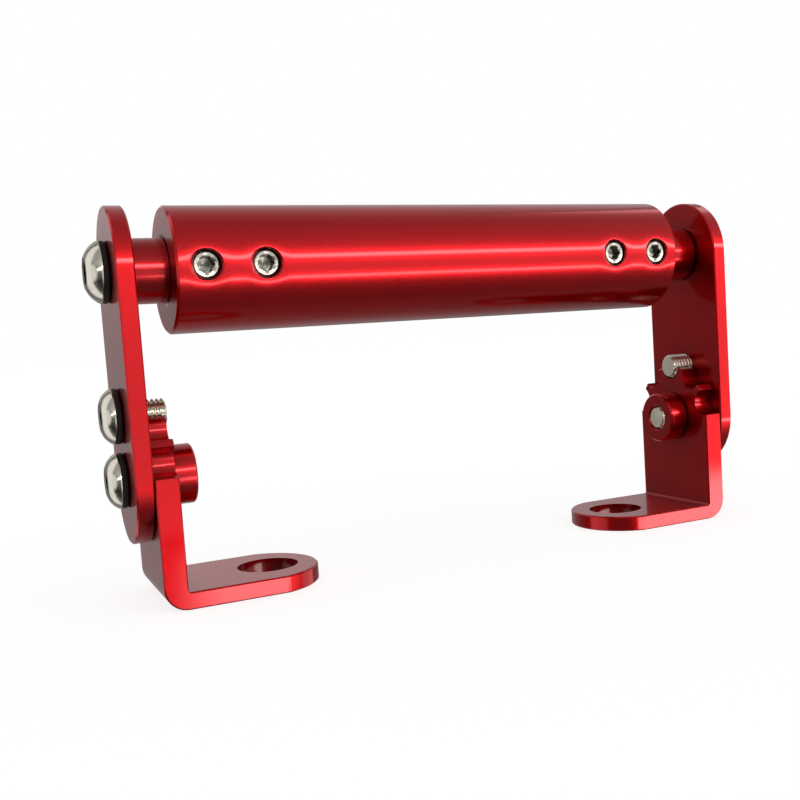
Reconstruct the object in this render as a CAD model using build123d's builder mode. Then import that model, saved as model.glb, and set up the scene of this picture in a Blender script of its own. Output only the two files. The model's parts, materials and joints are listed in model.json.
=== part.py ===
from build123d import *
import os

# Phone handlebar mount: a round crossbar that a phone holder clamps onto, carried by two side
# arms, each standing on an L-shaped foot bracket with an indexing sector.
#
# Frame: X runs along the crossbar, Z is up and the grub screws face -Y. The origin is under the
# middle of the whole width, on the plane that both feet stand on.

# Crossbar
bar_diameter = 22.0
bar_length = 102.0
bar_end_chamfer = 0.4
bore_chamfer = 0.5

# End shafts, which telescope in the crossbar
shaft_diameter = 11.2
shaft_length = 38.0
left_exposed = 6.5
right_exposed = 9.8
shaft_chamfer = 0.5
shaft_thread_depth = 14.0

# Side arms
arm_width = 22.0
arm_thickness = 3.0
arm_pivot_spacing = 35.3
lock_to_pivot = 11.0
plate_chamfer = 0.25

# Foot brackets
bracket_width = 22.0
leg_thickness = 4.0
foot_thickness = 3.0
pivot_height = 21.5
foot_length = 29.5
foot_tip_depth = 8.3
foot_hole_diameter = 11.0
foot_hole_from_leg = 20.5
bend_radius = 4.0

# Indexing sector on top of each bracket's leg
notch_count = 5
notch_pitch = 36.0
notch_radius = 2.75

# M6 arm bolts and M5 pivot and lock screws, all with button heads
m6_radius = 3.0
m6_head_radius = 5.25
m6_head_height = 2.5
m6_socket = 4.0
m6_socket_depth = 1.8
m5_radius = 2.5
m5_head_radius = 4.75
m5_head_height = 2.1
m5_socket = 3.0
m5_socket_depth = 1.5
head_rim = 0.3
head_flat_ratio = 0.52
head_crowning = 0.3
screw_end_chamfer = 0.4
bolt_engagement = 12.0
stud_past_bracket = 0.5

# Washers, nuts and grub screws
washer_thickness = 1.0
washer_edge_radius = 0.4
nut_radius = 5.25
nut_length = 4.25
nut_chamfer = 0.3
nut_bore_chamfer = 0.3
grub_length = 4.5
grub_socket = 2.5
grub_socket_depth = 2.4
grub_recess = 0.65
grub_from_end = 5.0
grub_spacing = 10.2
grub_mouth_radius = 0.5

# Clearances
face_gap = 0.05
running_clearance = 0.06
fixed_clearance = 0.02

touching = 0.01  # edges and faces this near to a line count as being on it

bar_bore_diameter = shaft_diameter + 2 * running_clearance
bar_height = pivot_height + arm_pivot_spacing
foot_tip_radius = ((bracket_width / 2) ** 2 + foot_tip_depth**2) / (2 * foot_tip_depth)
bar_centre_x = (left_exposed - right_exposed) / 2
sides = {"left": (-1, left_exposed), "right": (1, right_exposed)}


def outward_plane(side, x, z):
    """Plane facing away from the middle: its x is across the width and its y is up."""
    return Plane(origin=(x, 0, z), x_dir=(0, side, 0), z_dir=(side, 0, 0))


def section_plane(side, x, z):
    """Plane through a screw's axis: its x is the radius and its y points outwards."""
    return Plane(origin=(x, 0, z), x_dir=(0, 1, 0), z_dir=(0, 0, -side))


def button_screw(side, x, z, radius, length, head_radius, head_height, socket, socket_depth):
    """Button-head screw along X, with the underside of its head at x."""
    with BuildPart() as screw:
        with BuildSketch(section_plane(side, x, z)):
            with BuildLine():
                rim = (head_radius, head_rim)
                crown = (head_radius * head_flat_ratio, head_height)
                Polyline((0, head_height), (0, 0), (head_radius, 0), rim)
                SagittaArc(rim, crown, head_crowning)
                Line(crown, (0, head_height))
            make_face()
        revolve(axis=Axis((x, 0, z), (side, 0, 0)))
        with BuildSketch(outward_plane(side, x, z)):
            Circle(radius)
        extrude(amount=-length)
        tip = screw.faces().sort_by(Axis.X)[-1 if side < 0 else 0]
        chamfer(tip.edges(), screw_end_chamfer)
        with BuildSketch(outward_plane(side, x + side * head_height, z)):
            RegularPolygon(socket / 2, 6, major_radius=False)
        extrude(amount=-socket_depth, mode=Mode.SUBTRACT)
    return screw


def ring(side, x, z, inner_radius, outer_radius, thickness):
    """Washer with a rounded rim that lies outwards of x."""
    with BuildPart() as washer:
        with BuildSketch(outward_plane(side, x, z)):
            Circle(outer_radius)
            Circle(inner_radius, mode=Mode.SUBTRACT)
        extrude(amount=thickness)
        for face in washer.faces().filter_by(Axis.X):
            fillet(face.outer_wire().edges(), washer_edge_radius)
    return washer


def on_bracket_outline(edge):
    """Whether an edge runs along a bracket's sides, its round foot or the tips of its sector."""
    half_width = bracket_width / 2
    if edge.geom_type == GeomType.CIRCLE:
        return any(abs(edge.radius - r) < touching for r in (half_width, foot_tip_radius))
    box = edge.bounding_box()
    return min(abs(box.min.Y), abs(box.max.Y)) > half_width - touching


def save(piece, name):
    """Label a finished piece and write it to its own file."""
    piece.part.label = name
    export_step(piece.part, f"parts/{name}.step")


os.makedirs("parts", exist_ok=True)

grub_places = {}
for side_name, (side, _) in sides.items():
    outer_offset = bar_length / 2 - grub_from_end
    grub_places[f"{side_name}_outer_grub_screw"] = bar_centre_x + side * outer_offset
    grub_places[f"{side_name}_inner_grub_screw"] = bar_centre_x + side * (outer_offset - grub_spacing)

# The crossbar: a thick tube with two threaded grub screw holes near each end
with BuildPart() as crossbar:
    with BuildSketch(Plane.YZ.offset(bar_centre_x - bar_length / 2)):
        with Locations((0, bar_height)):
            Circle(bar_diameter / 2)
            Circle(bar_bore_diameter / 2, mode=Mode.SUBTRACT)
    extrude(amount=bar_length)
    bar_ends = crossbar.edges().filter_by(GeomType.CIRCLE)
    chamfer(bar_ends.filter_by(lambda e: e.radius > bar_diameter / 2 - touching), bar_end_chamfer)
    bore_ends = crossbar.edges().filter_by(GeomType.CIRCLE)
    chamfer(bore_ends.filter_by(lambda e: e.radius < bar_bore_diameter / 2 + touching), bore_chamfer)
    with BuildSketch(Plane.XZ.offset(bar_diameter / 2 + 1)):
        with Locations([(x, bar_height) for x in grub_places.values()]):
            Circle(m5_radius + running_clearance)
    extrude(amount=-bar_diameter / 2, mode=Mode.SUBTRACT)
    mouths = crossbar.edges().filter_by(GeomType.CIRCLE, reverse=True)
    fillet(mouths.filter_by_position(Axis.Y, -bar_diameter / 2, -bar_diameter * 0.4), grub_mouth_radius)
save(crossbar, "crossbar_tube")

# The grub screws that lock the end shafts
for name, grub_x in grub_places.items():
    grub_face = Plane(
        origin=(grub_x, -bar_diameter / 2 + grub_recess, bar_height),
        x_dir=(1, 0, 0),
        z_dir=(0, -1, 0),
    )
    with BuildPart() as grub_screw:
        with BuildSketch(grub_face):
            Circle(m5_radius)
        extrude(amount=-grub_length)
        chamfer(grub_screw.edges().filter_by(GeomType.CIRCLE), screw_end_chamfer)
        with BuildSketch(grub_face):
            RegularPolygon(grub_socket / 2, 6, major_radius=False)
        extrude(amount=-grub_socket_depth, mode=Mode.SUBTRACT)
    save(grub_screw, name)

for side_name, (side, exposed) in sides.items():
    arm_inner_x = bar_centre_x + side * (bar_length / 2 + exposed)
    arm_outer_x = arm_inner_x + side * arm_thickness
    lock_height = pivot_height + lock_to_pivot

    # The end shaft, with the arm bolt's thread in its outer end
    shaft_outer_x = arm_inner_x - side * face_gap
    with BuildPart() as end_shaft:
        with BuildSketch(outward_plane(side, shaft_outer_x, bar_height)):
            Circle(shaft_diameter / 2)
        extrude(amount=-shaft_length)
        chamfer(end_shaft.edges().filter_by(GeomType.CIRCLE), shaft_chamfer)
        with BuildSketch(outward_plane(side, shaft_outer_x, bar_height)):
            Circle(m6_radius + fixed_clearance)
        extrude(amount=-shaft_thread_depth, mode=Mode.SUBTRACT)
    save(end_shaft, f"{side_name}_end_shaft")

    # The side arm, a round-ended plate that swings on the arm bolt
    arm_middle = bar_height - arm_pivot_spacing / 2
    with BuildPart() as side_arm:
        with BuildSketch(outward_plane(side, arm_inner_x, arm_middle)):
            SlotCenterToCenter(arm_pivot_spacing, arm_width, rotation=90)
            with Locations((0, arm_pivot_spacing / 2)):
                Circle(m6_radius + running_clearance, mode=Mode.SUBTRACT)
            with Locations((0, lock_to_pivot - arm_pivot_spacing / 2)):
                Circle(m5_radius + running_clearance, mode=Mode.SUBTRACT)
            with Locations((0, -arm_pivot_spacing / 2)):
                Circle(m5_radius + fixed_clearance, mode=Mode.SUBTRACT)
        extrude(amount=arm_thickness)
        for face in side_arm.faces().filter_by(Axis.X):
            chamfer(face.outer_wire().edges(), plate_chamfer)
    save(side_arm, f"{side_name}_side_arm")

    # The foot bracket: a leg with the indexing sector on top, and a foot that points inwards
    leg_outer_x = arm_inner_x - side * face_gap
    with BuildPart() as foot_bracket:
        with BuildSketch(outward_plane(side, leg_outer_x, 0)):
            with Locations((0, pivot_height / 2)):
                Rectangle(bracket_width, pivot_height)
            with Locations((0, pivot_height)):
                Circle(bracket_width / 2)
                notch_span = notch_pitch * (notch_count - 1)
                first_notch = 90 - notch_span / 2
                with PolarLocations(lock_to_pivot, notch_count, first_notch, notch_span, endpoint=True):
                    Circle(notch_radius, mode=Mode.SUBTRACT)
                Circle(m5_radius + running_clearance, mode=Mode.SUBTRACT)
        extrude(amount=-leg_thickness)
        foot_tip_x = leg_outer_x - side * foot_length
        foot_shoulder_x = foot_tip_x + side * foot_tip_depth
        foot_hole_x = leg_outer_x - side * foot_hole_from_leg
        with BuildSketch(Plane.XY):
            with BuildLine():
                near, far = -bracket_width / 2, bracket_width / 2
                leg_corners = [(leg_outer_x, near), (leg_outer_x, far)]
                Polyline((foot_shoulder_x, near), *leg_corners, (foot_shoulder_x, far))
                ThreePointArc((foot_shoulder_x, far), (foot_tip_x, 0), (foot_shoulder_x, near))
            make_face()
            with Locations((foot_hole_x, 0)):
                Circle(foot_hole_diameter / 2, mode=Mode.SUBTRACT)
        extrude(amount=foot_thickness)
        across = foot_bracket.edges().filter_by(Axis.Y)
        fillet(across.group_by(Axis.Z)[0].sort_by(Axis.X)[0 if side < 0 else -1], bend_radius)
        rims = foot_bracket.edges().filter_by(on_bracket_outline)
        chamfer(rims, plate_chamfer)
    save(foot_bracket, f"{side_name}_foot_bracket")

    # The round pivot nut on the inside of the bracket
    nut_outer_x = leg_outer_x - side * (leg_thickness + face_gap)
    with BuildPart() as pivot_nut:
        with BuildSketch(outward_plane(side, nut_outer_x, pivot_height)):
            Circle(nut_radius)
            Circle(m5_radius + fixed_clearance, mode=Mode.SUBTRACT)
        extrude(amount=-nut_length)
        nut_faces = pivot_nut.faces().filter_by(Axis.X)
        for face in nut_faces:
            chamfer(face.outer_wire().edges(), nut_chamfer)
            chamfer(face.inner_wires()[0].edges(), nut_bore_chamfer)
    save(pivot_nut, f"{side_name}_pivot_nut")

    # Bolts, screws and their washers, which all stand on the outside of the arm
    head_seat_x = arm_outer_x + side * (face_gap + washer_thickness)
    through_arm = face_gap + washer_thickness + arm_thickness
    pivot_length = through_arm + face_gap + leg_thickness + face_gap + nut_length
    lock_length = through_arm + face_gap + leg_thickness + stud_past_bracket
    m6_head = (m6_head_radius, m6_head_height, m6_socket, m6_socket_depth)
    m5_head = (m5_head_radius, m5_head_height, m5_socket, m5_socket_depth)
    fasteners = {
        "arm_bolt": (bar_height, m6_radius, through_arm + bolt_engagement, m6_head),
        "lock_screw": (lock_height, m5_radius, lock_length, m5_head),
        "pivot_screw": (pivot_height, m5_radius, pivot_length, m5_head),
    }
    for name, (height, radius, length, head) in fasteners.items():
        save(button_screw(side, head_seat_x, height, radius, length, *head), f"{side_name}_{name}")
        washer_x = arm_outer_x + side * face_gap
        washer = ring(side, washer_x, height, radius + fixed_clearance, head[0], washer_thickness)
        save(washer, f"{side_name}_{name}_washer")
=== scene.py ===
import json
import math

import bmesh
import bpy
from mathutils import Matrix, Vector

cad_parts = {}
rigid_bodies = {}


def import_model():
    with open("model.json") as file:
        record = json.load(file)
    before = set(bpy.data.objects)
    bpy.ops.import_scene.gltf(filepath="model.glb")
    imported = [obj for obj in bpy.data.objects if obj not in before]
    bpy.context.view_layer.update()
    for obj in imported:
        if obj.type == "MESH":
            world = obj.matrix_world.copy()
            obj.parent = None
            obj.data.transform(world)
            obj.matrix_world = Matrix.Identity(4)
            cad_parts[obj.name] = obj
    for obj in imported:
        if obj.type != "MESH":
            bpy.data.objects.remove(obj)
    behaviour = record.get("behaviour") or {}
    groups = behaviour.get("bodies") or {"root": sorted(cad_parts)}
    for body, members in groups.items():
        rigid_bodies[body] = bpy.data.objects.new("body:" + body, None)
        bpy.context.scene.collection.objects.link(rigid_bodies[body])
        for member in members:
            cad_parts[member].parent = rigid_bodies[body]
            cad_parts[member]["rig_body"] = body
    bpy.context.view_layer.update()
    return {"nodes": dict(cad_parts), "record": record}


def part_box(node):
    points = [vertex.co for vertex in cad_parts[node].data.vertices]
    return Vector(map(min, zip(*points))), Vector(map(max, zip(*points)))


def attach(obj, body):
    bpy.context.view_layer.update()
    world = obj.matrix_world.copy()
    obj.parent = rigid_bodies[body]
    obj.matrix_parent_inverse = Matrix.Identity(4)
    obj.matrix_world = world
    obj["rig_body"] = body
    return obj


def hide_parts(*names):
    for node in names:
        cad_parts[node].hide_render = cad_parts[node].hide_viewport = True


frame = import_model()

MM = 0.001
nodes = frame["nodes"]
bar_low, bar_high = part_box("crossbar_tube")
bar_centre = (bar_low + bar_high) / 2
foot_hole = next(mount for mount in frame["record"]["mounts"] if mount["name"] == "right_foot_hole")


# ---------------------------------------------------------------- shader graphs

class Graph:
    """Short calls for building a node tree."""

    def __init__(self, tree):
        self.tree = tree

    def node(self, kind, **settings):
        made = self.tree.nodes.new(kind)
        for key, value in settings.items():
            setattr(made, key, value)
        return made

    def put(self, value, socket):
        """Link a socket's value into socket, or set a plain value on it."""
        if isinstance(value, bpy.types.NodeSocket):
            self.tree.links.new(value, socket)
        else:
            socket.default_value = value

    def math(self, operation, *values):
        made = self.node("ShaderNodeMath", operation=operation)
        for value, socket in zip(values, made.inputs):
            self.put(value, socket)
        return made.outputs[0]

    def remap(self, value, source, target, soft=False):
        """value taken from the range source to the range target, and held at its ends."""
        made = self.node("ShaderNodeMapRange", interpolation_type="SMOOTHSTEP" if soft else "LINEAR")
        self.put(value, made.inputs["Value"])
        for name, number in zip(("From Min", "From Max", "To Min", "To Max"), (*source, *target)):
            made.inputs[name].default_value = number
        return made.outputs["Result"]

    def position(self, scale):
        """The object's own coordinates in millimetres, stretched by scale."""
        place = self.node("ShaderNodeTexCoord")
        stretch = self.node("ShaderNodeMapping")
        stretch.inputs["Scale"].default_value = [s / MM for s in scale]
        self.put(place.outputs["Object"], stretch.inputs["Vector"])
        return stretch.outputs["Vector"]

    def noise(self, scale, detail=2.0):
        """Noise with that many features per millimetre along X, Y and Z."""
        made = self.node("ShaderNodeTexNoise")
        made.inputs["Scale"].default_value = 1.0
        made.inputs["Detail"].default_value = detail
        self.put(self.position(scale), made.inputs["Vector"])
        return made.outputs["Fac"]

    def mix(self, factor, first, second):
        """A colour between first and second, each a colour's three parts or a socket."""
        made = self.node("ShaderNodeMix", data_type="RGBA")
        self.put(factor, made.inputs["Factor"])
        for colour, socket in ((first, made.inputs["A"]), (second, made.inputs["B"])):
            self.put(colour if isinstance(colour, bpy.types.NodeSocket) else (*colour, 1.0), socket)
        return made.outputs["Result"]

    def bump(self, height, distance, below=None):
        """Relief of that many millimetres."""
        made = self.node("ShaderNodeBump")
        made.inputs["Distance"].default_value = distance * MM
        self.put(height, made.inputs["Height"])
        if below is not None:
            self.put(below, made.inputs["Normal"])
        return made.outputs["Normal"]


def new_material(name):
    """A material's graph and its surface shader."""
    material = bpy.data.materials.new(name)
    material.use_nodes = True
    return material, Graph(material.node_tree), material.node_tree.nodes["Principled BSDF"]


# ---------------------------------------------------------------- materials

NOISE_RANGE = (0.3, 0.7)  # where nearly all of a noise's values lie
DYE_CLOUDS = (0.09, 0.09, 0.09)
SURFACE_WAVES = (0.35, 0.35, 0.35)
WAVE_HEIGHT = 0.0008
DYE_DEEP = (0.58, 0.0006, 0.004)
DYE_BRIGHT = (0.64, 0.0016, 0.006)
# Painted shade: the colour that the dye darkens to in corners and gaps between parts
CORNER_PAINTED_SHADE = (0.12, 0.0014, 0.003)
CORNER_REACH = 5.5  # millimetres
# Painted shade: the colour of the walls of the feet's holes
HOLE_WALL_PAINTED_SHADE = (0.20, 0.0003, 0.0015)
DRILLED_ROUGHNESS = 0.2
WALL_MARGIN = 0.02
COAT_IOR = 1.36
STEEL_DULL = (0.63, 0.60, 0.50)
STEEL_BRIGHT = (0.77, 0.73, 0.63)
STEEL_CLOUDS = (0.7, 0.7, 0.7)
STEEL_MARK_DEPTH = 0.002
NYLON_DARK = (0.010, 0.007, 0.007)
NYLON_LIGHT = (0.024, 0.017, 0.017)


def hole_wall_shade_mask(graph):
    """1 on the walls of both feet's holes, which get painted shade, and 0 elsewhere."""
    split = graph.node("ShaderNodeSeparateXYZ")
    graph.put(graph.position((1, 1, 1)), split.inputs["Vector"])
    hole_x = abs(foot_hole["pos_m"][0]) / MM
    off_x = graph.math("SUBTRACT", graph.math("ABSOLUTE", split.outputs["X"]), hole_x)
    off_y = split.outputs["Y"]
    squares = [graph.math("MULTIPLY", off, off) for off in (off_x, off_y)]
    wall_radius = foot_hole["dims"]["r_mm"] + WALL_MARGIN
    return graph.math("LESS_THAN", graph.math("ADD", *squares), wall_radius**2)


def red_anodised(name, tool_marks, mark_depth, roughness, coat_roughness, has_shaded_hole_walls=False):
    """Dyed and sealed anodised aluminium with painted shade in its corners, and on the feet's hole walls if
    asked, with cutter marks under a clear coat.

    tool_marks is how many marks a millimetre holds along X, Y and Z, and mark_depth is in millimetres."""
    material, graph, surface = new_material(name)
    marks = graph.noise(tool_marks)
    cloud = graph.noise(DYE_CLOUDS)
    waves = graph.noise(SURFACE_WAVES)
    # Painted shade: ambient occlusion darkens the dye in corners, hollows and gaps
    openness = graph.node("ShaderNodeAmbientOcclusion", samples=8)
    openness.inputs["Distance"].default_value = CORNER_REACH * MM
    open_dye = graph.mix(cloud, DYE_DEEP, DYE_BRIGHT)
    dye_and_painted_shade = graph.mix(openness.outputs["AO"], CORNER_PAINTED_SHADE, open_dye)
    wear = graph.remap(marks, NOISE_RANGE, (roughness * 0.95, roughness * 1.06))
    if has_shaded_hole_walls:
        # Painted shade on the walls of the feet's holes
        hole_wall = hole_wall_shade_mask(graph)
        dye_and_painted_shade = graph.mix(hole_wall, dye_and_painted_shade, HOLE_WALL_PAINTED_SHADE)
        wear = graph.math("ADD", wear, graph.math("MULTIPLY", hole_wall, DRILLED_ROUGHNESS))
    graph.put(dye_and_painted_shade, surface.inputs["Base Color"])
    graph.put(wear, surface.inputs["Roughness"])
    wavy = graph.bump(waves, WAVE_HEIGHT)
    graph.put(graph.bump(marks, mark_depth, wavy), surface.inputs["Normal"])
    graph.put(wavy, surface.inputs["Coat Normal"])
    surface.inputs["Metallic"].default_value = 1.0
    surface.inputs["Coat Weight"].default_value = 1.0
    surface.inputs["Coat IOR"].default_value = COAT_IOR
    surface.inputs["Coat Roughness"].default_value = coat_roughness
    return material


def stainless(name, tool_marks, roughness, shade=1.0):
    """Steel, a little warm, with its colour multiplied by shade."""
    material, graph, surface = new_material(name)
    marks = graph.noise(tool_marks, detail=3.0)
    cloud = graph.noise(STEEL_CLOUDS)
    dull = [shade * part for part in STEEL_DULL]
    bright = [shade * part for part in STEEL_BRIGHT]
    graph.put(graph.mix(cloud, dull, bright), surface.inputs["Base Color"])
    wear = graph.remap(marks, NOISE_RANGE, (roughness * 0.7, roughness * 1.4))
    graph.put(wear, surface.inputs["Roughness"])
    graph.put(graph.bump(marks, STEEL_MARK_DEPTH), surface.inputs["Normal"])
    surface.inputs["Metallic"].default_value = 1.0
    return material


def nylon():
    """Matt black nylon with a fine grain."""
    material, graph, surface = new_material("black_nylon")
    grain = graph.noise((5.0, 5.0, 5.0))
    graph.put(graph.mix(grain, NYLON_DARK, NYLON_LIGHT), surface.inputs["Base Color"])
    graph.put(graph.remap(grain, NOISE_RANGE, (0.5, 0.62)), surface.inputs["Roughness"])
    graph.put(graph.bump(grain, 0.004), surface.inputs["Normal"])
    surface.inputs["Specular IOR Level"].default_value = 0.25
    return material


turned_red = red_anodised(
    "red_turned", tool_marks=(2.2, 0.05, 0.05), mark_depth=0.0002, roughness=0.25, coat_roughness=0.13
)
faced_red = red_anodised(
    "red_faced", tool_marks=(0.3, 1.6, 1.6), mark_depth=0.0008, roughness=0.34, coat_roughness=0.22
)
milled_red = red_anodised(
    "red_milled", tool_marks=(0.5, 2.0, 0.12), mark_depth=0.00005, roughness=0.33, coat_roughness=0.08,
    has_shaded_hole_walls=True,
)
steel = stainless("steel", tool_marks=(2.5, 2.5, 2.5), roughness=0.17)
plain_steel = stainless("steel_plain", tool_marks=(1.0, 1.0, 1.0), roughness=0.24, shade=0.72)
# A brighter copy of the steel for the screws' cut tips: rough as cut, with painted light in its colour
cut_steel_painted_light = stainless("steel_cut_painted_light", tool_marks=(4.0, 4.0, 4.0), roughness=0.6, shade=1.25)
# A darker copy of the steel: painted shade in the sockets and on the grub screws' chamfers
shaded_socket_steel = stainless("steel_socket_painted_shade", tool_marks=(1.5, 1.5, 1.5), roughness=0.25, shade=0.35)
black_nylon = nylon()


# ---------------------------------------------------------------- turned pieces

ROUND_SIDES = 72
THREAD_STEPS = 12
THREAD_DEPTH = 0.61  # in pitches, as the two flats below
CREST_FLAT = 1 / 8
ROOT_FLAT = 1 / 4
SOCKET_LEAD = 0.16
DRILL_POINT = 0.45
TINY = 0.02
ROUND_ANGLES = [math.tau * k / ROUND_SIDES for k in range(ROUND_SIDES)]


def circle(radius, along):
    """A round ring at that place along the axis."""
    return [(radius * math.cos(a), radius * math.sin(a), along) for a in ROUND_ANGLES]


def hexagon(flat_radius, along):
    """A six-sided ring, flat_radius from the middle of each side to the axis."""
    ring = []
    for a in ROUND_ANGLES:
        radius = flat_radius / math.cos(a % (math.pi / 3) - math.pi / 6)
        ring.append((radius * math.cos(a), radius * math.sin(a), along))
    return ring


def thread_radius(crest, pitch, along, angle):
    """Radius of a right-handed metric thread, with flats at its crest and root."""
    turn = (along / pitch - angle / math.tau) % 1.0
    fall = (abs(turn - 0.5) - CREST_FLAT / 2) / (0.5 - CREST_FLAT / 2 - ROOT_FLAT / 2)
    return crest - THREAD_DEPTH * pitch * min(max(fall, 0.0), 1.0)


def thread(crest, pitch, start, end, chamfer, chamfer_end=0.0):
    """Rings of a thread from start to end along the axis, chamfered at its start and its end."""
    count = round((end - start) / pitch * THREAD_STEPS)
    rings = []
    for k in range(count + 1):
        along = start + (end - start) * k / count
        limit = crest - max(chamfer - (along - start), chamfer_end - (end - along), 0.0)
        radii = [min(thread_radius(crest, pitch, along, a), limit) for a in ROUND_ANGLES]
        rings.append([(r * math.cos(a), r * math.sin(a), along) for r, a in zip(radii, ROUND_ANGLES)])
    return rings


def socket(flat_radius, top, depth, countersink=0.12):
    """Rings of a hexagon socket from its countersunk mouth down to its drilled bottom."""
    corner_radius = flat_radius / math.cos(math.pi / 6)
    floor = top - depth
    return [
        circle(corner_radius + countersink, top),
        hexagon(flat_radius, top - SOCKET_LEAD),
        hexagon(flat_radius, floor),
        circle(flat_radius * 0.85, floor - TINY),
        circle(TINY, floor - DRILL_POINT),
    ]


def bridge(form, first, second, material_index=0):
    """Faces between two closed loops of as many vertices."""
    for k in range(len(first)):
        following = (k + 1) % len(first)
        face = form.faces.new((first[k], first[following], second[following], second[k]))
        face.material_index = material_index


def finish_piece(form, name, materials):
    """The bmesh form as a piece that rides on the body of the CAD node it replaces."""
    bmesh.ops.recalc_face_normals(form, faces=form.faces)
    mesh = bpy.data.meshes.new(name)
    form.to_mesh(mesh)
    form.free()
    mesh.shade_smooth()
    mesh.set_sharp_from_angle(angle=math.radians(30))
    for material in materials:
        mesh.materials.append(material)
    piece = bpy.data.objects.new(name + "_detailed", mesh)
    bpy.context.scene.collection.objects.link(piece)
    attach(piece, nodes[name]["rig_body"])
    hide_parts(name)


def turned_piece(name, sections, origin, outward):
    """A steel solid skinned over rings in millimetres, with their axis along outward from origin.

    Each section is a material and the rings it covers, from one end to the other."""
    above = Vector((0, 0, 1))
    across = above.cross(outward)
    form = bmesh.new()
    loops = []
    for number, (_, rings) in enumerate(sections):
        for ring in rings:
            points = [origin + (across * u + above * v + outward * w) * MM for u, v, w in ring]
            loops.append([form.verts.new(point) for point in points])
            if len(loops) > 1:
                bridge(form, loops[-2], loops[-1], number)
    form.faces.new(loops[0])
    form.faces.new(loops[-1]).material_index = len(sections) - 1
    finish_piece(form, name, [material for material, _ in sections])


# ---------------------------------------------------------------- screws

M5 = {"crest": 2.5, "pitch": 0.8, "head": 4.75, "height": 2.1, "socket": 1.5, "socket_depth": 1.5}
M6 = {"crest": 3.0, "pitch": 1.0, "head": 5.25, "height": 2.5, "socket": 2.0, "socket_depth": 1.8}
RIM_HEIGHT = 0.3
CROWN_RATIO = 0.52
CROWNING = 0.3
DOME_STEPS = 14
SEAT_CHAMFER = 0.1
TIP_CHAMFER = 0.4
GRUB_CHAMFER = 0.5
CUP = {"inner": 1.2, "outer": 1.5, "depth": 0.35}
GRUB_SOCKET = {"flat_radius": 1.25, "top": -0.06, "depth": 2.1, "countersink": 0.04}


def button_head(size):
    """Rings of a button head from its seat to the flat round its socket."""
    radius, height = size["head"], size["height"]
    crown = radius * CROWN_RATIO
    rings = [circle(radius - SEAT_CHAMFER, 0.0), circle(radius, SEAT_CHAMFER)]
    run, rise = crown - radius, height - RIM_HEIGHT
    chord = math.hypot(run, rise)
    for k in range(DOME_STEPS + 1):
        t = k / DOME_STEPS
        bulge = 4 * CROWNING * t * (1 - t)
        outwards = radius + run * t + rise / chord * bulge
        rings.append(circle(min(outwards, radius), RIM_HEIGHT + rise * t - run / chord * bulge))
    return rings


def button_screw(name, size):
    """A button-head screw with its seat on its washer and its tip where the CAD screw's is."""
    side = -1 if name.startswith("left") else 1
    low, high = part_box(name)
    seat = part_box(name + "_washer")[0 if side < 0 else 1].x
    tip = high.x if side < 0 else low.x
    length = abs(seat - tip) / MM
    shank = thread(size["crest"], size["pitch"], -length, 0.0, TIP_CHAMFER)
    recess = socket(size["socket"], size["height"], size["socket_depth"])
    # The socket gets painted shade, and the tip's end face painted light
    sections = [(cut_steel_painted_light, shank[:1]), (steel, shank[1:] + button_head(size)), (shaded_socket_steel, recess)]
    origin = Vector((seat, 0, (low.z + high.z) / 2))
    turned_piece(name, sections, origin, Vector((side, 0, 0)))


def grub_screw(name):
    """A cup-point grub screw, bright round its socket, with painted shade on its chamfer and in the socket.
    """
    low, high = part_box(name)
    length = (high.y - low.y) / MM
    shank = [circle(CUP["inner"], CUP["depth"] - length), circle(CUP["outer"], -length)]
    shank += thread(M5["crest"], M5["pitch"], -length, 0.0, TIP_CHAMFER, GRUB_CHAMFER)
    shaded = round(GRUB_CHAMFER / M5["pitch"] * THREAD_STEPS)
    recess = socket(**GRUB_SOCKET)
    origin = Vector(((low.x + high.x) / 2, low.y, (low.z + high.z) / 2))
    # Painted shade on the chamfer and in the socket
    sections = [(plain_steel, shank[:-shaded]), (shaded_socket_steel, shank[-shaded:])]
    sections += [(plain_steel, recess[:2]), (shaded_socket_steel, recess[2:])]
    turned_piece(name, sections, origin, Vector((0, -1, 0)))


# ---------------------------------------------------------------- crossbar

BAR_STEPS = 144
WINDOW_STEPS = 11
WINDOW_REACH = 5.1
COARSE_STEP = 4.0
FINE_STEP = 0.5
END_CHAMFER = 0.4
BORE_CHAMFER = 0.5
BORE_RADIUS = 5.66
HOLE_RADIUS = 2.56
MOUTH_ROUND = 0.3
DISH_RADIUS = 4.6
DISH_CURVE = 0.027
DISH_RINGS = (4.5, 4.25, 4.0, 3.75, 3.5, 3.3, 3.1, 2.95)
bar_radius = (bar_high.z - bar_low.z) / 2 / MM
bar_half = (bar_high.x - bar_low.x) / 2 / MM
hole_places = sorted(
    (sum(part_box(name), Vector()).x / 2 - bar_centre.x) / MM for name in nodes if name.endswith("grub_screw")
)


def bar_point(x, y, z):
    """A point given in millimetres from the crossbar's centre."""
    return bar_centre + Vector((x, y, z)) * MM


def around_bar(radius, angle):
    """Y and Z of a place at angle about the crossbar's axis, from its front upwards."""
    return -radius * math.cos(angle), radius * math.sin(angle)


def evenly(start, end, step):
    """Places from start up to end, without it, about a step apart."""
    count = max(1, round((end - start) / step))
    return [start + (end - start) * k / count for k in range(count)]


def bar_lines(inset):
    """Places of the grid's rings along the bar, and the two rings that bound each hole's window."""
    end = bar_half - inset
    lines, windows, reached = [], [], -end
    for place in hole_places:
        start = max(place - WINDOW_REACH, -end)
        stop = min(place + WINDOW_REACH, end)
        if start - reached > WINDOW_REACH:
            lines += evenly(reached, start, COARSE_STEP)
        first = len(lines)
        lines += evenly(start, stop, FINE_STEP)
        windows.append((first, len(lines)))
        reached = stop
    return lines + [end], windows


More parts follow.
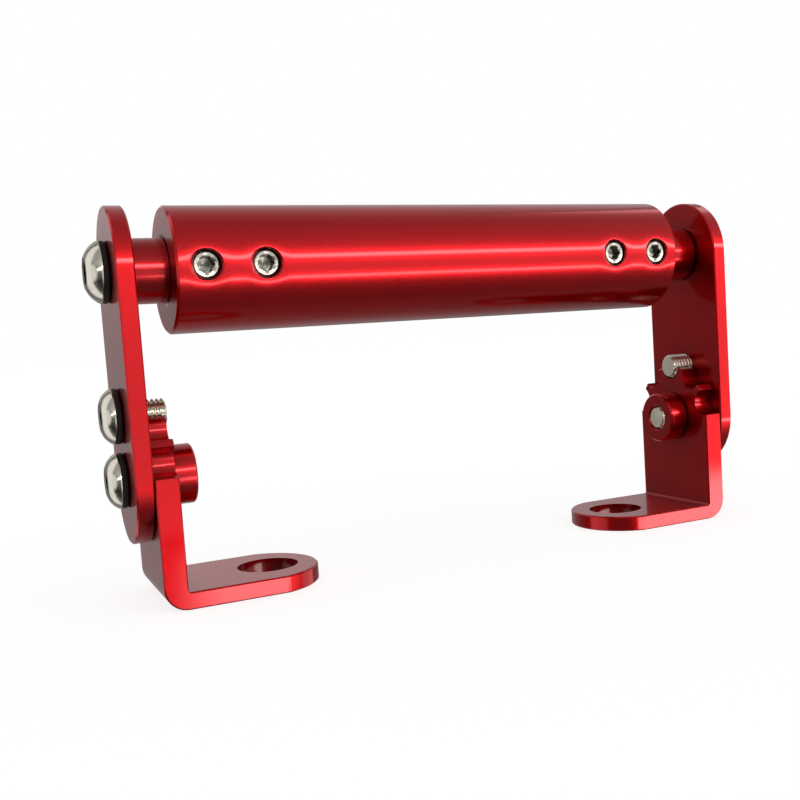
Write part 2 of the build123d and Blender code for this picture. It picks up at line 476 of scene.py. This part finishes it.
def bar_wall(form, radius, lines, windows):
    """One wall of the tube as a grid that leaves the windows open.

    Gives the loops at its two ends and the edge of each window."""
    half = BAR_STEPS // 2
    grid = {}
    for i, x in enumerate(lines):
        for j in range(-half, half):
            if abs(j) < WINDOW_STEPS and any(first < i < last for first, last in windows):
                continue
            grid[i, j] = form.verts.new(bar_point(x, *around_bar(radius, math.tau * j / BAR_STEPS)))
    for i in range(len(lines) - 1):
        in_window = any(first <= i < last for first, last in windows)
        for j in range(-half, half):
            if in_window and -WINDOW_STEPS <= j < WINDOW_STEPS:
                continue
            up = j + 1 if j + 1 < half else -half
            form.faces.new((grid[i, j], grid[i + 1, j], grid[i + 1, up], grid[i, up]))
    ends = [[grid[i, j] for j in range(-half, half)] for i in (0, len(lines) - 1)]
    edges = []
    for first, last in windows:
        around = [(i, -WINDOW_STEPS) for i in range(first, last)]
        around += [(last, j) for j in range(-WINDOW_STEPS, WINDOW_STEPS)]
        around += [(i, WINDOW_STEPS) for i in range(last, first, -1)]
        around += [(first, j) for j in range(WINDOW_STEPS, -WINDOW_STEPS, -1)]
        edges.append([grid[place] for place in around])
    return ends, edges


def grub_hole(form, place, outer_edge, bore_edge):
    """The dished mouth and the wall of a grub screw's hole, between its windows in the two walls."""
    corners = [(vertex.co - bar_centre) / MM - Vector((place, 0, 0)) for vertex in outer_edge]
    angles = [math.atan2(corner.z, corner.x) for corner in corners]

    def loop(offsets, radius, depth_at):
        """Vertices over offsets from the hole's axis, depth_at of that distance below the radius."""
        loop_vertices = []
        for u, v in offsets:
            y = depth_at(math.hypot(u, v)) - math.sqrt(radius**2 - v**2)
            loop_vertices.append(form.verts.new(bar_point(place + u, y, v)))
        return loop_vertices

    def ring_offsets(radius):
        return [(radius * math.cos(a), radius * math.sin(a)) for a in angles]

    def dish(distance):
        """How deep the dish is at that distance from the hole's axis."""
        return DISH_CURVE * max(DISH_RADIUS - distance, 0.0) ** 2

    loops = [outer_edge]
    for share in (0.75, 0.5, 0.25):
        inner = ring_offsets(DISH_RINGS[0])
        offsets = [(u + (c.x - u) * share, v + (c.z - v) * share) for (u, v), c in zip(inner, corners)]
        loops.append(loop(offsets, bar_radius, dish))
    for radius in DISH_RINGS:
        loops.append(loop(ring_offsets(radius), bar_radius, dish))
    for bend in (0, 22.5, 45, 67.5, 90):
        bend = math.radians(bend)
        radius = HOLE_RADIUS + MOUTH_ROUND * (1 - math.sin(bend))
        drop = dish(HOLE_RADIUS + MOUTH_ROUND) + MOUTH_ROUND * (1 - math.cos(bend))
        loops.append(loop(ring_offsets(radius), bar_radius, lambda distance: drop))
    loops.append(loop(ring_offsets(HOLE_RADIUS), BORE_RADIUS, lambda distance: 0.0))
    loops.append(bore_edge)
    for first, second in zip(loops, loops[1:]):
        bridge(form, first, second)


def crossbar():
    """The tube, with its grub screws' holes, its bore and its turned ends."""
    form = bmesh.new()
    lines, windows = bar_lines(END_CHAMFER)
    outer_ends, outer_edges = bar_wall(form, bar_radius, lines, windows)
    lines, windows = bar_lines(BORE_CHAMFER)
    bore_ends, bore_edges = bar_wall(form, BORE_RADIUS, lines, windows)
    for place, outer_edge, bore_edge in zip(hole_places, outer_edges, bore_edges):
        grub_hole(form, place, outer_edge, bore_edge)
    for side, outer_end, bore_end in zip((-1, 1), outer_ends, bore_ends):
        loops = [outer_end]
        for radius in (bar_radius - END_CHAMFER, BORE_RADIUS + BORE_CHAMFER):
            angles = [math.tau * j / BAR_STEPS for j in range(-BAR_STEPS // 2, BAR_STEPS // 2)]
            ring = [bar_point(side * bar_half, *around_bar(radius, a)) for a in angles]
            loops.append([form.verts.new(point) for point in ring])
        loops.append(bore_end)
        for number, (first, second) in enumerate(zip(loops, loops[1:])):
            bridge(form, first, second, 1 if number == 1 else 0)
    finish_piece(form, "crossbar_tube", [turned_red, faced_red])


crossbar()
for name in list(nodes):
    if name.endswith("grub_screw"):
        grub_screw(name)
    elif name.endswith("arm_bolt"):
        button_screw(name, M6)
    elif name.endswith(("lock_screw", "pivot_screw")):
        button_screw(name, M5)
    else:
        if name.endswith("washer"):
            finish = black_nylon
        elif name.endswith(("shaft", "nut")):
            finish = turned_red
        else:
            finish = milled_red
        for material_slot in nodes[name].material_slots:
            material_slot.material = finish


# ---------------------------------------------------------------- stage

def stage_plane(name, corners, material):
    """One face that belongs to the stage and not to the part."""
    mesh = bpy.data.meshes.new(name)
    mesh.from_pydata(corners, [], [(0, 1, 2, 3)])
    mesh.materials.append(material)
    plane = bpy.data.objects.new(name, mesh)
    bpy.context.scene.collection.objects.link(plane)
    return plane


FLOOR_REACH = 4.0


def make_floor():
    """White paper that takes soft shadows and doesn't show in the metal."""
    material, _, surface = new_material("white_floor")
    surface.inputs["Base Color"].default_value = (0.45, 0.45, 0.45, 1.0)
    surface.inputs["Roughness"].default_value = 1.0
    surface.inputs["Specular IOR Level"].default_value = 0.0
    surface.inputs["Emission Color"].default_value = (1.0, 1.0, 1.0, 1.0)
    surface.inputs["Emission Strength"].default_value = 0.80
    r = FLOOR_REACH
    floor = stage_plane("floor", [(-r, -r, 0), (r, -r, 0), (r, r, 0), (-r, r, 0)], material)
    floor.visible_glossy = False
    floor.visible_shadow = False


STRIP_DISTANCE = 0.3
STRIP_HALF_WIDTH = 0.029
STRIP_CORE = 0.35 * STRIP_HALF_WIDTH  # fully bright as far as this from its middle
CARD_BACK = 0.06
CARD_HALF_HEIGHT = 0.25


def glow_material(name):
    """A black surface whose emission strength is still to be set."""
    material, graph, surface = new_material(name)
    surface.inputs["Base Color"].default_value = (0.0, 0.0, 0.0, 1.0)
    surface.inputs["Specular IOR Level"].default_value = 0.0
    surface.inputs["Emission Color"].default_value = (1.0, 1.0, 1.0, 1.0)
    return material, graph, surface.inputs["Emission Strength"]


def make_strip(name, angle, start, end, fade, brightness):
    """A long soft strip light in front of the crossbar, at angle degrees above the horizontal.

    It runs from start to end along X, and comes up from dark over the length fade at its start."""
    material, graph, strength = glow_material(name)
    place = graph.node("ShaderNodeTexCoord").outputs["Object"]
    split = graph.node("ShaderNodeSeparateXYZ")
    graph.put(place, split.inputs["Vector"])
    along = graph.remap(split.outputs["X"], (start, start + fade), (0.0, 1.0), soft=True)
    off_middle = graph.math("ABSOLUTE", split.outputs["Y"])
    across = graph.remap(off_middle, (STRIP_CORE, STRIP_HALF_WIDTH), (1.0, 0.0), soft=True)
    level = graph.math("MULTIPLY", graph.math("MULTIPLY", along, across), brightness)
    graph.put(level, strength)
    w = STRIP_HALF_WIDTH
    strip = stage_plane(name, [(start, -w, 0), (end, -w, 0), (end, w, 0), (start, w, 0)], material)
    rise = math.radians(angle)
    away = Vector((0, -math.cos(rise), math.sin(rise)))
    strip.location = bar_centre + away * STRIP_DISTANCE
    strip.rotation_euler = (math.radians(90) + rise, 0, 0)
    strip.visible_camera = False
    strip.visible_diffuse = False


def make_card(name, near, far, fade):
    """A white card just behind the object and to one side, that the screw heads reflect.

    It runs from near to far along X, and comes up from dark over the length fade at near."""
    material, graph, strength = glow_material(name)
    split = graph.node("ShaderNodeSeparateXYZ")
    graph.put(graph.node("ShaderNodeTexCoord").outputs["Object"], split.inputs["Vector"])
    graph.put(graph.remap(split.outputs["X"], (near, near + fade), (0.0, 1.0), soft=True), strength)
    h = CARD_HALF_HEIGHT
    card = stage_plane(name, [(near, 0, -h), (far, 0, -h), (far, 0, h), (near, 0, h)], material)
    card.location = bar_centre + Vector((0, CARD_BACK, 0))
    card.visible_camera = False
    card.visible_diffuse = False


# Brightness of the surroundings by angle in degrees about the crossbar: 0 is in front, 90 overhead.
SURROUND = [
    (-180, 0.27), (-165, 0.27), (-151, 0.33), (-130, 0.29), (-115, 0.26), (-92, 0.24), (-72, 0.18),
    (-55, 0.20), (-39, 0.30), (-31, 0.58), (-20, 0.88), (8, 0.90), (23, 0.85), (39, 0.62), (55, 0.50),
    (84, 0.38), (107, 0.42), (143, 0.45), (168, 0.52), (180, 0.27),
]


def make_world():
    """A room that is brightest in front, darker behind at the sides, with a soft light on each side."""
    world = bpy.data.worlds.new("studio")
    bpy.context.scene.world = world
    world.use_nodes = True
    world.node_tree.nodes.clear()
    graph = Graph(world.node_tree)
    split = graph.node("ShaderNodeSeparateXYZ")
    graph.put(graph.node("ShaderNodeTexCoord").outputs["Generated"], split.inputs["Vector"])
    sideways, back, up = split.outputs
    angle = graph.math("ARCTAN2", up, graph.math("MULTIPLY", back, -1.0))
    ramp = graph.node("ShaderNodeValToRGB")
    ramp.color_ramp.interpolation = "EASE"
    graph.put(graph.remap(angle, (-math.pi, math.pi), (0.0, 1.0)), ramp.inputs["Fac"])
    stops = ramp.color_ramp.elements
    while len(stops) > 1:
        stops.remove(stops[-1])
    for number, (degrees, level) in enumerate(SURROUND):
        stop = stops[0] if number == 0 else stops.new((degrees + 180) / 360)
        stop.position = (degrees + 180) / 360
        stop.color = (level, level, level, 1.0)
    beside = graph.math("MULTIPLY", sideways, sideways)
    behind = graph.remap(back, (-0.1, 0.1), (0.0, 1.0), soft=True)
    level_or_below = graph.remap(up, (0.1, 0.5), (1.0, 0.0), soft=True)
    dimming = graph.math("MULTIPLY", behind, graph.remap(beside, (0.0, 0.77), (0.0, 0.75)))
    dimming = graph.math("MULTIPLY", dimming, level_or_below)
    room = graph.math("MULTIPLY", ramp.outputs["Color"], graph.math("SUBTRACT", 1.0, dimming))
    # Someone dark stands low in front and to the left
    in_front = graph.remap(back, (-0.1, 0.1), (1.0, 0.0), soft=True)
    to_left = graph.remap(sideways, (-0.15, 0.05), (1.0, 0.0), soft=True)
    low_down = graph.remap(up, (0.2, 0.4), (1.0, 0.0), soft=True)
    person = graph.math("MULTIPLY", graph.math("MULTIPLY", in_front, to_left), low_down)
    room = graph.math("MULTIPLY", room, graph.remap(person, (0.0, 1.0), (1.0, 0.15)))
    side_light = graph.remap(beside, (0.84, 0.94), (0.0, 0.87), soft=True)
    level = graph.math("MAXIMUM", room, side_light)
    around = graph.node("ShaderNodeBackground")
    graph.put(level, around.inputs["Color"])
    backdrop = graph.node("ShaderNodeBackground")
    backdrop.inputs["Color"].default_value = (1.0, 1.0, 1.0, 1.0)
    choose = graph.node("ShaderNodeMixShader")
    graph.put(graph.node("ShaderNodeLightPath").outputs["Is Camera Ray"], choose.inputs["Fac"])
    graph.put(around.outputs[0], choose.inputs[1])
    graph.put(backdrop.outputs[0], choose.inputs[2])
    graph.put(choose.outputs[0], graph.node("ShaderNodeOutputWorld").inputs["Surface"])
    world.cycles.sampling_method = "NONE"


def make_camera():
    """A hand-held camera in front and to the left, a little lower than the crossbar."""
    sideways, forward, height = -84.55 * MM, -175.93 * MM, -13.75 * MM
    turn, dip, roll = (math.radians(a) for a in (25.571, 4.715, -3.70))
    data = bpy.data.cameras.new("camera")
    data.sensor_width = 36.0
    data.lens = 44.84
    data.shift_x = -0.0489
    data.shift_y = 0.0194
    data.clip_start = 0.01
    camera = bpy.data.objects.new("camera", data)
    bpy.context.scene.collection.objects.link(camera)
    camera.location = bar_centre + Vector((sideways, forward, height))
    ahead = Vector((math.sin(turn) * math.cos(dip), math.cos(turn) * math.cos(dip), -math.sin(dip)))
    level = Vector((math.cos(turn), -math.sin(turn), 0.0))
    above = level.cross(ahead)
    right = level * math.cos(roll) + above * math.sin(roll)
    up = above * math.cos(roll) - level * math.sin(roll)
    camera.rotation_mode = "QUATERNION"
    camera.rotation_quaternion = Matrix((right, up, -ahead)).transposed().to_quaternion()
    bpy.context.scene.camera = camera


make_floor()
make_world()
make_strip("strip_high", angle=15, start=-0.05, end=0.9, fade=0.03, brightness=10.3)
make_strip("strip_low", angle=-23, start=-0.015, end=0.9, fade=0.03, brightness=7.7)
make_strip("strip_left", angle=15, start=-0.9, end=-0.35, fade=0.2, brightness=8.3)
make_card("card_left", near=-0.09, far=-0.4, fade=-0.04)
make_card("card_right", near=0.13, far=0.4, fade=0.04)
make_camera()
bpy.context.scene.view_settings.view_transform = "Standard"
